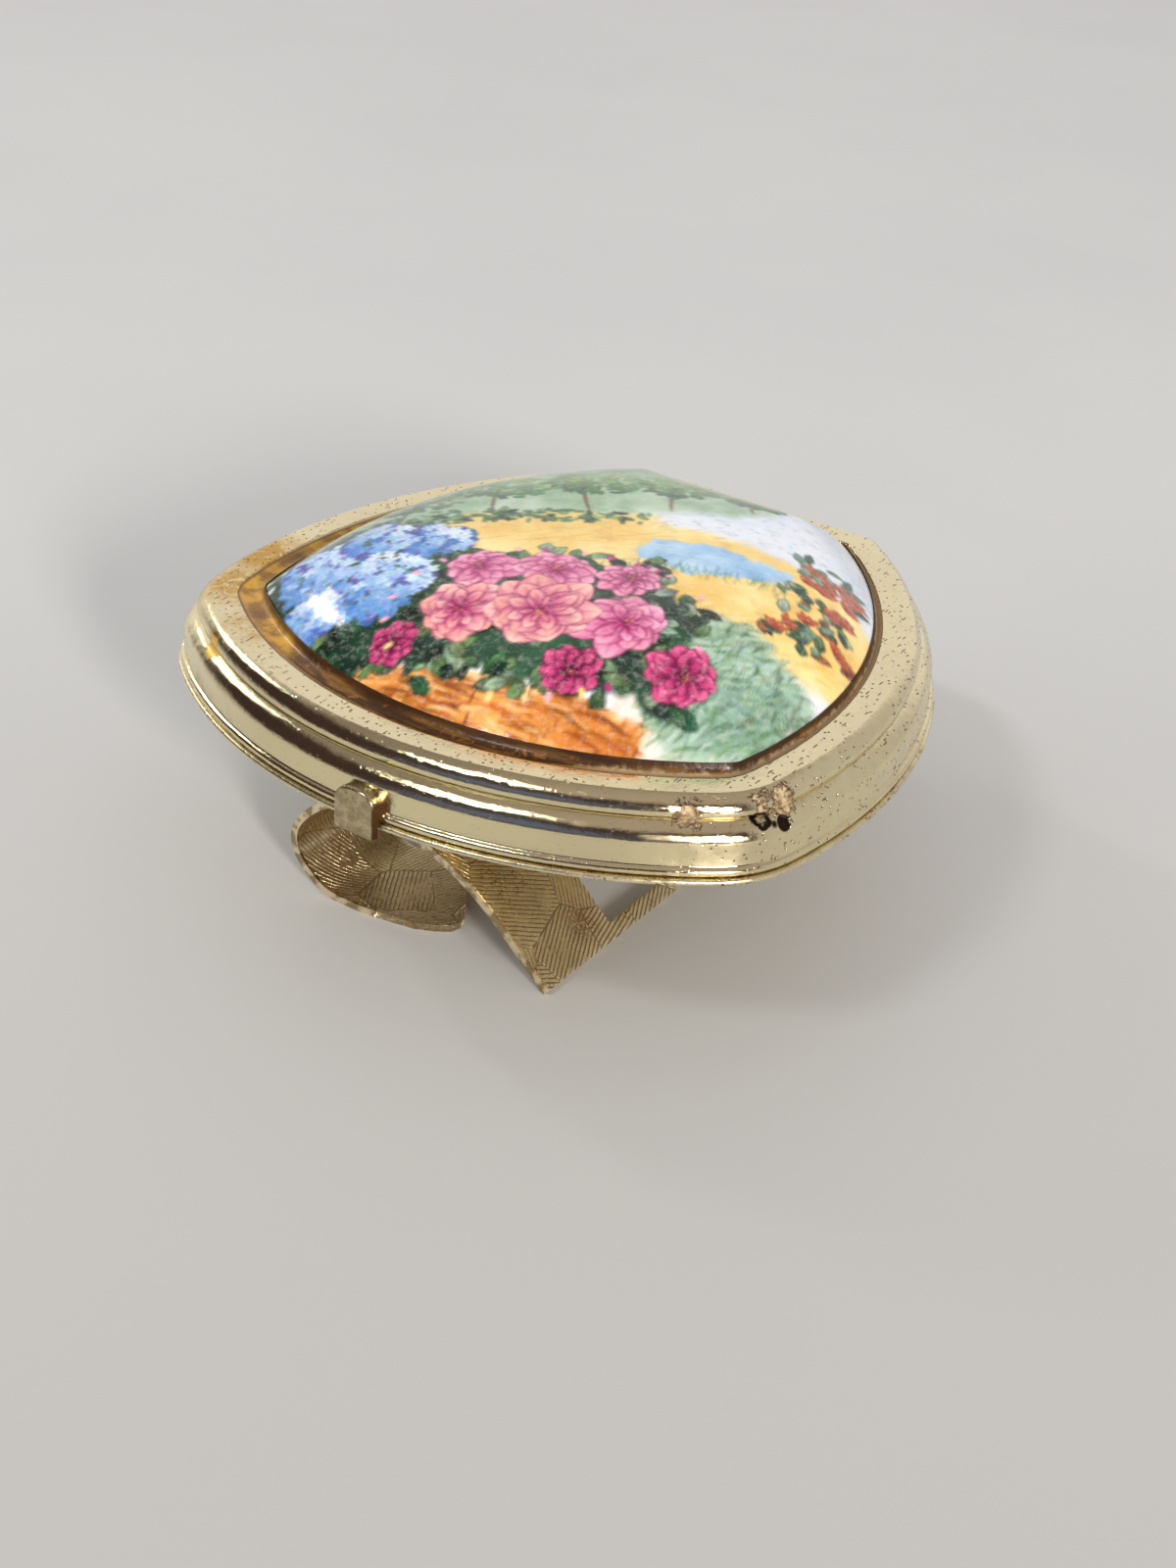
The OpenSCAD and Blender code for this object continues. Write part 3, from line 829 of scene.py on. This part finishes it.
def leaves(outline, count, colours, size, lean=(0.0, math.pi * 2)):
    for p, q in scatter(outline, count):
        c = pick(colours)
        petal(p, q, size * rng.uniform(0.7, 1.3), size * rng.uniform(0.22, 0.34),
              rng.uniform(*lean), c * 0.7, np.clip(c * 1.25, 0, 1), c * 0.35, 1, 1.0,
              rng.uniform(-0.2, 0.2))


GREEN = [rgb(86, 124, 82), rgb(64, 104, 72), rgb(112, 146, 96), rgb(52, 88, 64)]
PALE_GREEN = [rgb(150, 176, 146), rgb(126, 160, 134), rgb(176, 194, 164)]
DARK = [rgb(30, 44, 40), rgb(40, 56, 44), rgb(48, 36, 40)]
BROWN = [rgb(140, 74, 30), rgb(176, 100, 44), rgb(110, 58, 30)]
OCHRE = [rgb(224, 176, 84), rgb(206, 152, 66)]
SKY = [rgb(176, 198, 226), rgb(150, 178, 214), rgb(200, 204, 222)]

# sky, far trees, cornfield, path and ground laid in as washes
sky = [(1, 6), (9, 3), (19, -1), (19, 20), (1, 20)]
wash(sky, rgb(226, 230, 238), rgb(206, 216, 232))
strokes(sky, 900, 0.14, 0.09, 0.6, 0.8, SKY, 0.7)
wash([(-19, -1), (-9, 3.5), (2, 6.5), (9, 9), (7, 20), (-19, 20)],
     rgb(190, 205, 184), rgb(142, 172, 138), 1.0)
corn = [(-10, -3), (6, -6), (15, -5), (16, 2), (9, 4.5), (3, 6.2), (-7, 4.5)]
wash(corn, rgb(243, 219, 146), rgb(232, 190, 98), 0.8)
strokes(corn, 260, 0.6, 0.06, 0.35, 0.2, OCHRE, 0.6)
wash([(3, -8), (13, -7), (14, -16), (2, -16)], rgb(238, 224, 214), rgb(222, 200, 190))
ground = [(-16, -4), (-9, -7.5), (-2, -9.2), (5, -11), (4, -16), (-14, -16)]
wash(ground, rgb(226, 164, 92), rgb(196, 122, 56), 0.6, 1.0)
strokes(ground, 460, 0.8, 0.09, -0.38, 0.12, BROWN, 0.85)
strokes(ground, 200, 0.35, 0.08, 1.15, 0.2, BROWN, 0.8)
strokes(ground, 140, 0.6, 0.09, -0.38, 0.1, [rgb(244, 202, 140)], 0.8)

# trees at the back, with trunks, boughs and clumps of leaves
for p, q, tall, wide in ((-9.5, 4.2, 5, 2.6), (-5.2, 5.6, 6, 2.8), (-0.6, 6.8, 6, 2.6),
                         (4.0, 8.0, 5, 2.3), (8.2, 9.2, 3.0, 1.6)):
    dab(p, q + tall * 0.3, tall * 0.45, 0.14, math.pi / 2 + rng.normal(0, 0.1),
        rgb(112, 82, 60), 0.8, 0.2)
    for i in range(7):
        a = rng.uniform(0.3, 2.8)
        dab(p + 1.1 * math.cos(a), q + tall * 0.45 + 0.9 * math.sin(a), 1.1, 0.05, a,
            rgb(112, 82, 60), 0.7, 0.15)
    for i in range(150):
        a, k = rng.uniform(0, 2 * math.pi), math.sqrt(rng.uniform(0, 1))
        shade = 0.5 + 0.5 * math.sin(a) * k
        tone = GREEN[1] * (1 - shade) + rgb(158, 182, 120) * shade
        dab(p + wide * k * math.cos(a), q + tall * 0.62 + wide * 0.75 * k * math.sin(a),
            0.34, 0.2, rng.uniform(0, 3.1), tone + rng.normal(0, 0.04, 3), 0.85)
strokes([(-17, 0), (-12, 1.5), (-5, 4), (3, 5.4), (3, 6.6), (-6, 5.6), (-14, 4)], 260,
        0.35, 0.2, 0.4, 0.7, GREEN + DARK[1:2], 0.75)

# pond with reeds
wash([(2.6, 1.0), (6, 0.2), (9.6, 0.8), (10.4, 2.4), (7.4, 3.7), (3.6, 3.4)],
     rgb(138, 180, 218), rgb(186, 212, 234), 0.3, 1.0)
for i in range(22):
    dab(rng.uniform(3.2, 9.2), rng.uniform(1, 3.1), rng.uniform(0.4, 1.0), 0.04, 0.05,
        rgb(232, 240, 246), 0.8)
for i in range(70):
    p = rng.uniform(2.2, 10.6)
    dab(p, 0.6 + rng.normal(0, 0.25), 0.55, 0.045, 1.5 + rng.normal(0, 0.25),
        pick(GREEN), 0.85, 0.08)

# grasses and broad leaves on the right
meadow = [(3, -4), (9, -3.4), (12.4, -6.5), (11.4, -11), (6, -12.6), (4, -10)]
wash(meadow, rgb(168, 196, 176), rgb(120, 158, 138), 0.8)
strokes(meadow, 520, 0.55, 0.07, 0.75, 0.35, GREEN + PALE_GREEN, 0.85, 0.1)
strokes(meadow, 160, 0.5, 0.05, 0.6, 0.3, [rgb(206, 222, 214), rgb(170, 196, 222)], 0.8, 0.1)
strokes(meadow, 90, 0.6, 0.045, 0.9, 0.4, DARK[:2] + BROWN[2:], 0.7, 0.15)

# hydrangeas over dark leaves on the left
wash([(-17, -1), (-14.5, -6), (-9, -7.6), (-4, -4), (-6, 2.4), (-12, 3.6)],
     DARK[0], GREEN[3], 0.4, 1.0)
leaves([(-17, -1), (-14.5, -5.6), (-8, -8), (-4, -4), (-6, 3), (-12, 3.6)], 120,
       GREEN + DARK[1:2], 1.2)
for p, q, r in ((-7.4, 1.4, 1.7), (-13.2, 0.2, 2.0), (-10.3, 1.9, 1.8), (-12.9, -3.3, 1.6),
                (-9.4, -2.2, 2.5)):
    for i in range(40):
        a, k = rng.uniform(0, 2 * math.pi), r * math.sqrt(rng.uniform(0, 1))
        dab(p + k * math.cos(a), q + k * math.sin(a), 0.5, 0.4, a,
            pick([rgb(66, 106, 166), rgb(84, 124, 186), rgb(96, 88, 160)]), 0.95)
    for i in range(int(20 * r * r)):
        a, k = rng.uniform(0, 2 * math.pi), math.sqrt(rng.uniform(0, 1))
        light = np.clip(0.5 + 0.55 * k * math.sin(a + 0.6) + rng.normal(0, 0.15), 0, 1)
        tone = rgb(88, 140, 204) * (1 - light) + rgb(222, 234, 246) * light
        t = rng.uniform(0, 1.57)
        for j in range(4):
            b = t + j * math.pi / 2
            dab(p + r * k * math.cos(a) + 0.19 * math.cos(b),
                q + r * k * math.sin(a) + 0.19 * math.sin(b), 0.19, 0.14, b,
                tone + rng.normal(0, 0.025, 3), 1.0)
        dab(p + r * k * math.cos(a), q + r * k * math.sin(a), 0.06, 0.06, 0,
            rgb(56, 84, 140), 0.9)

# peonies and roses in the middle, over their leaves
wash([(-7.5, -7.2), (-1, -9.6), (6.4, -10.6), (6.6, -5), (3.4, 0), (-4, 0.2)],
     GREEN[3], DARK[0], 0.5, 0.95)
leaves([(-8.4, -8), (-1, -10.4), (7.6, -11.2), (7.4, -4), (3.4, 1.2), (-4.6, 1.2)], 150,
       GREEN + PALE_GREEN[:1] + DARK[1:2], 1.4)


def peony(p, q, r, foot, tip, line, facing):
    """four rounds of petals, the outer ones first and longest"""
    for count, reach, wide in ((9, 1.0, 0.40), (8, 0.84, 0.36), (7, 0.64, 0.30),
                               (6, 0.42, 0.20)):
        for j in rng.permutation(count):
            a = facing + 2 * math.pi * j / count + rng.normal(0, 0.12)
            long = r * reach * (1 - 0.16 * math.cos(a - facing)) * rng.uniform(0.9, 1.08)
            k = rng.uniform(-0.05, 0.12)
            petal(p - 0.06 * r * math.cos(facing), q - 0.06 * r * math.sin(facing), long,
                  r * reach * wide, a, foot - k, np.clip(tip + k, 0, 1), line, 3, 0.62,
                  rng.uniform(-0.12, 0.12))
    for i in range(14):
        a, k = rng.uniform(0, 2 * math.pi), 0.12 * r * rng.uniform(0, 1)
        dab(p + k * math.cos(a), q + k * math.sin(a), 0.1, 0.06, a,
            pick([rgb(240, 206, 110), line]), 0.9)


PINK_FOOT, PINK_TIP, WINE = rgb(190, 62, 126), rgb(240, 172, 190), rgb(120, 22, 78)
for p, q, r, facing in ((2.9, -1.2, 1.7, 1.0), (-4.8, -1.2, 1.9, 2.4), (-0.9, -0.9, 2.1, 1.4),
                        (-5.2, -5.0, 2.3, 3.6), (3.2, -5.4, 2.4, 0.2), (-1.2, -5.2, 2.9, 4.4)):
    peony(p, q, r, PINK_FOOT, PINK_TIP if q > -3 or p > 2 else rgb(246, 190, 170), WINE, facing)
for p, q, r, facing in ((0.9, -9.0, 1.5, 4.6), (6.3, -8.6, 1.9, 5.4), (-8.2, -6.6, 1.3, 3.6)):
    peony(p, q, r, rgb(128, 18, 78), rgb(222, 96, 142), rgb(70, 8, 44), facing)
for i in range(26):
    a = rng.uniform(0, 2 * math.pi)
    p, q = -0.8 + 7.4 * math.cos(a), -4.6 + 5.0 * math.sin(a)
    dab(p, q, 0.8, 0.035, a + rng.normal(0, 0.3), DARK[0], 0.8, 0.15)
    dab(p + 0.6 * math.cos(a), q + 0.6 * math.sin(a), 0.26, 0.18, a,
        pick([PINK_TIP, PINK_FOOT, rgb(236, 214, 140)]), 0.95)

# lilies along the right edge
leaves([(9.6, -4.5), (13.6, -3.4), (14.2, 5), (11.4, 6), (10.2, 1)], 60,
       GREEN + PALE_GREEN + BROWN[:2], 1.1, (0.2, 2.2))
for p, q in scatter([(9.8, -4), (13.4, -3), (14, 4.6), (11.8, 5.4), (10.6, 1)], 16):
    facing = rng.uniform(0.3, 2.2)
    for j in range(4):
        petal(p, q, rng.uniform(0.8, 1.3), 0.2, facing + (j - 1.5) * 0.45, rgb(186, 70, 40),
              rgb(238, 160, 84), rgb(120, 40, 24), 1, 1.0)

# each point of the plaque takes the colour round its place on the canvas,
# which lies turned on it
for side in (0, 1):
    canvas = (np.roll(canvas, 1, side) + canvas + np.roll(canvas, -1, side)) / 3
TURN, PICTURE_UP = math.radians(27), 2.7
spot = np.empty(len(plaque.data.vertices) * 3)
plaque.data.vertices.foreach_get("co", spot)
spot = spot.reshape(-1, 3) / MM
p = spot[:, 0] * math.cos(TURN) + (spot[:, 1] + MIDDLE_Y) * math.sin(TURN)
q = (spot[:, 1] + MIDDLE_Y) * math.cos(TURN) - spot[:, 0] * math.sin(TURN) + PICTURE_UP
cx = np.clip((p + HALF) * PX, 0, SIZE - 2)
cy = np.clip((q + HALF) * PX, 0, SIZE - 2)
ix, iy = cx.astype(int), cy.astype(int)
fx, fy = (cx - ix)[:, None], (cy - iy)[:, None]
paint = ((canvas[iy, ix] * (1 - fx) + canvas[iy, ix + 1] * fx) * (1 - fy)
         + (canvas[iy + 1, ix] * (1 - fx) + canvas[iy + 1, ix + 1] * fx) * fy)
paint = np.clip(paint, 0, 1) ** 2.4
coat = plaque.data.color_attributes.new("paint", "FLOAT_COLOR", "POINT")
coat.data.foreach_set("color", np.concatenate(
    [paint, np.ones((len(paint), 1))], 1).astype(np.float32).ravel())


def glaze(name):
    """enamel colours under clear glaze, with the grain of the brush"""
    finish, tree, shader, place = start_finish(name)
    laid = put(tree, "ShaderNodeVertexColor", layer_name="paint").outputs[0]
    grain = rough(place, 3.0, 4.0, 0.6)
    thin = rough(place, 0.8, 3.0, 0.6)
    colour = blend(between(grain, 0.45, 0.75, 0.0, 0.14), laid, (0.86, 0.84, 0.80, 1))
    colour = blend(between(thin, 0.3, 0.5, 0.18, 0.0), colour, (0.30, 0.22, 0.18, 1), "MULTIPLY")
    normal = bump(rough(place, 0.45, 2.0), 0.00008, 0.2)
    normal = bump(rough(place, 2.4, 4.0, 0.7), 0.00002, 0.5, normal)
    normal = bump(rough(place, 7.0, 3.0, 0.7), 0.00001, 0.4, normal)
    plug(shader, {"Base Color": colour, "Normal": normal, "Coat Normal": normal,
                  "Roughness": 0.5, "Specular IOR Level": 0.0, "Coat Weight": 1.0,
                  "Coat Roughness": 0.03, "Coat IOR": 1.45})
    return finish


plaque.data.materials.append(glaze("painted_glaze"))
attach(plaque, "lid")
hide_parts("porcelain")

# The table, the light and the camera: a white table top under four soft
# lamps, on the left, high and low in front and near on the right, seen from
# in front and to the right, looking down. The low lamp isn't mirrored.
bpy.ops.mesh.primitive_plane_add(size=1.0)
table_top = bpy.context.object
table_top.name = "table_top"
table_top.data.transform(Matrix.Diagonal((1.6, 1.6, 1, 1)))
finish, _, shader, place = start_finish("table_white")
grain = rough(place, 0.02, 3.0)
colour = blend(between(grain, 0.3, 0.7), (0.545, 0.545, 0.54, 1), (0.57, 0.57, 0.56, 1))
# painted shade: the table's colour darkens nearer the camera, standing in for the light falling
# off across the table to the front
here = parts_of(place)
toward = plus(times(here[0], 0.545), times(here[1], -0.839))
colour = blend(between(toward, -60.0, 70.0), colour, (0.445, 0.44, 0.43, 1))
plug(shader, {"Base Color": colour, "Roughness": 0.5})
table_top.data.materials.append(finish)

LAMP_AWAY = 0.9


def lamp(name, direction, wide, tall, power, tint, roll=0.0):
    """a soft lamp, in metres and watts, turned to the ring"""
    light = bpy.data.lights.new(name, "AREA")
    light.shape, light.size, light.size_y = "ELLIPSE", wide, tall
    light.energy, light.color = power, tint
    made = bpy.data.objects.new(name, light)
    away = Vector(direction).normalized()
    made.location = away * LAMP_AWAY
    facing_ring = away.to_track_quat("Z", "Y").to_matrix() @ Matrix.Rotation(roll, 3, "Z")
    made.rotation_euler = facing_ring.to_euler()
    bpy.context.scene.collection.objects.link(made)
    return made


lamp("left_lamp", (-0.86, 0.07, 0.50), 0.18, 0.035, 0.8, (0.97, 1.0, 0.98), 0.9)
lamp("front_lamp", (-0.2, -0.6, 0.77), 0.24, 0.06, 1.6, (0.97, 1.0, 0.98))
lamp("near_lamp", (0.76, -0.52, 0.34), 0.12, 0.17, 7.0, (1.0, 0.93, 0.88))
low = lamp("low_lamp", (-0.45, -0.85, 0.20), 0.4, 0.1, 1.6, (1.0, 0.97, 0.95))
low.visible_glossy = False

# The room: what the metal mirrors is a bright wall at the back, greyer on
# the right, a dim side in front with a bluish patch and a brown-grey
# ceiling; the soft light that falls on everything is even.
world = bpy.data.worlds.new("room")
world.use_nodes = True
bpy.context.scene.world = world
tree = world.node_tree
look = parts_of(put(tree, "ShaderNodeTexCoord").outputs["Generated"])


def side_of_room(x, y):
    return plus(times(look[0], x), times(look[1], y))


far = between(side_of_room(-0.643, 0.766), 0.5, 0.75)
near = between(side_of_room(-0.105, -0.995), -0.06, 0.06)
blue = times(between(side_of_room(0.03, -1.0), 0.82, 0.93), between(look[2], 0.05, 0.2))
wall = blend(far, (0.55, 0.53, 0.54, 1), (0.86, 0.83, 0.84, 1))
dim = blend(blue, (0.05, 0.034, 0.034, 1), (0.13, 0.16, 0.30, 1))
wall = blend(near, wall, dim)
ceiling = blend(between(side_of_room(-1.0, 0.0), -0.2, 0.6),
                (0.42, 0.37, 0.36, 1), (0.26, 0.23, 0.22, 1))
tone = blend(between(look[2], 0.66, 0.72), wall, ceiling)
soft = put(tree, "ShaderNodeLightPath").outputs["Is Diffuse Ray"]
tone = blend(soft, tone, (0.68, 0.67, 0.665, 1))
plug(tree.nodes["Background"], {"Color": tone, "Strength": 1.0})

eye = bpy.data.cameras.new("camera")
eye.lens, eye.sensor_width = 54.0, 36.0
eye.clip_start = 0.005
camera = bpy.data.objects.new("camera", eye)
camera.location = (0.059866, -0.091462 - MIDDLE_Y * MM, 0.067944)
camera.rotation_euler = (1.0376542, -0.0516888, 0.6018122)
bpy.context.scene.collection.objects.link(camera)
bpy.context.scene.camera = camera
bpy.context.scene.view_settings.view_transform = "Standard"
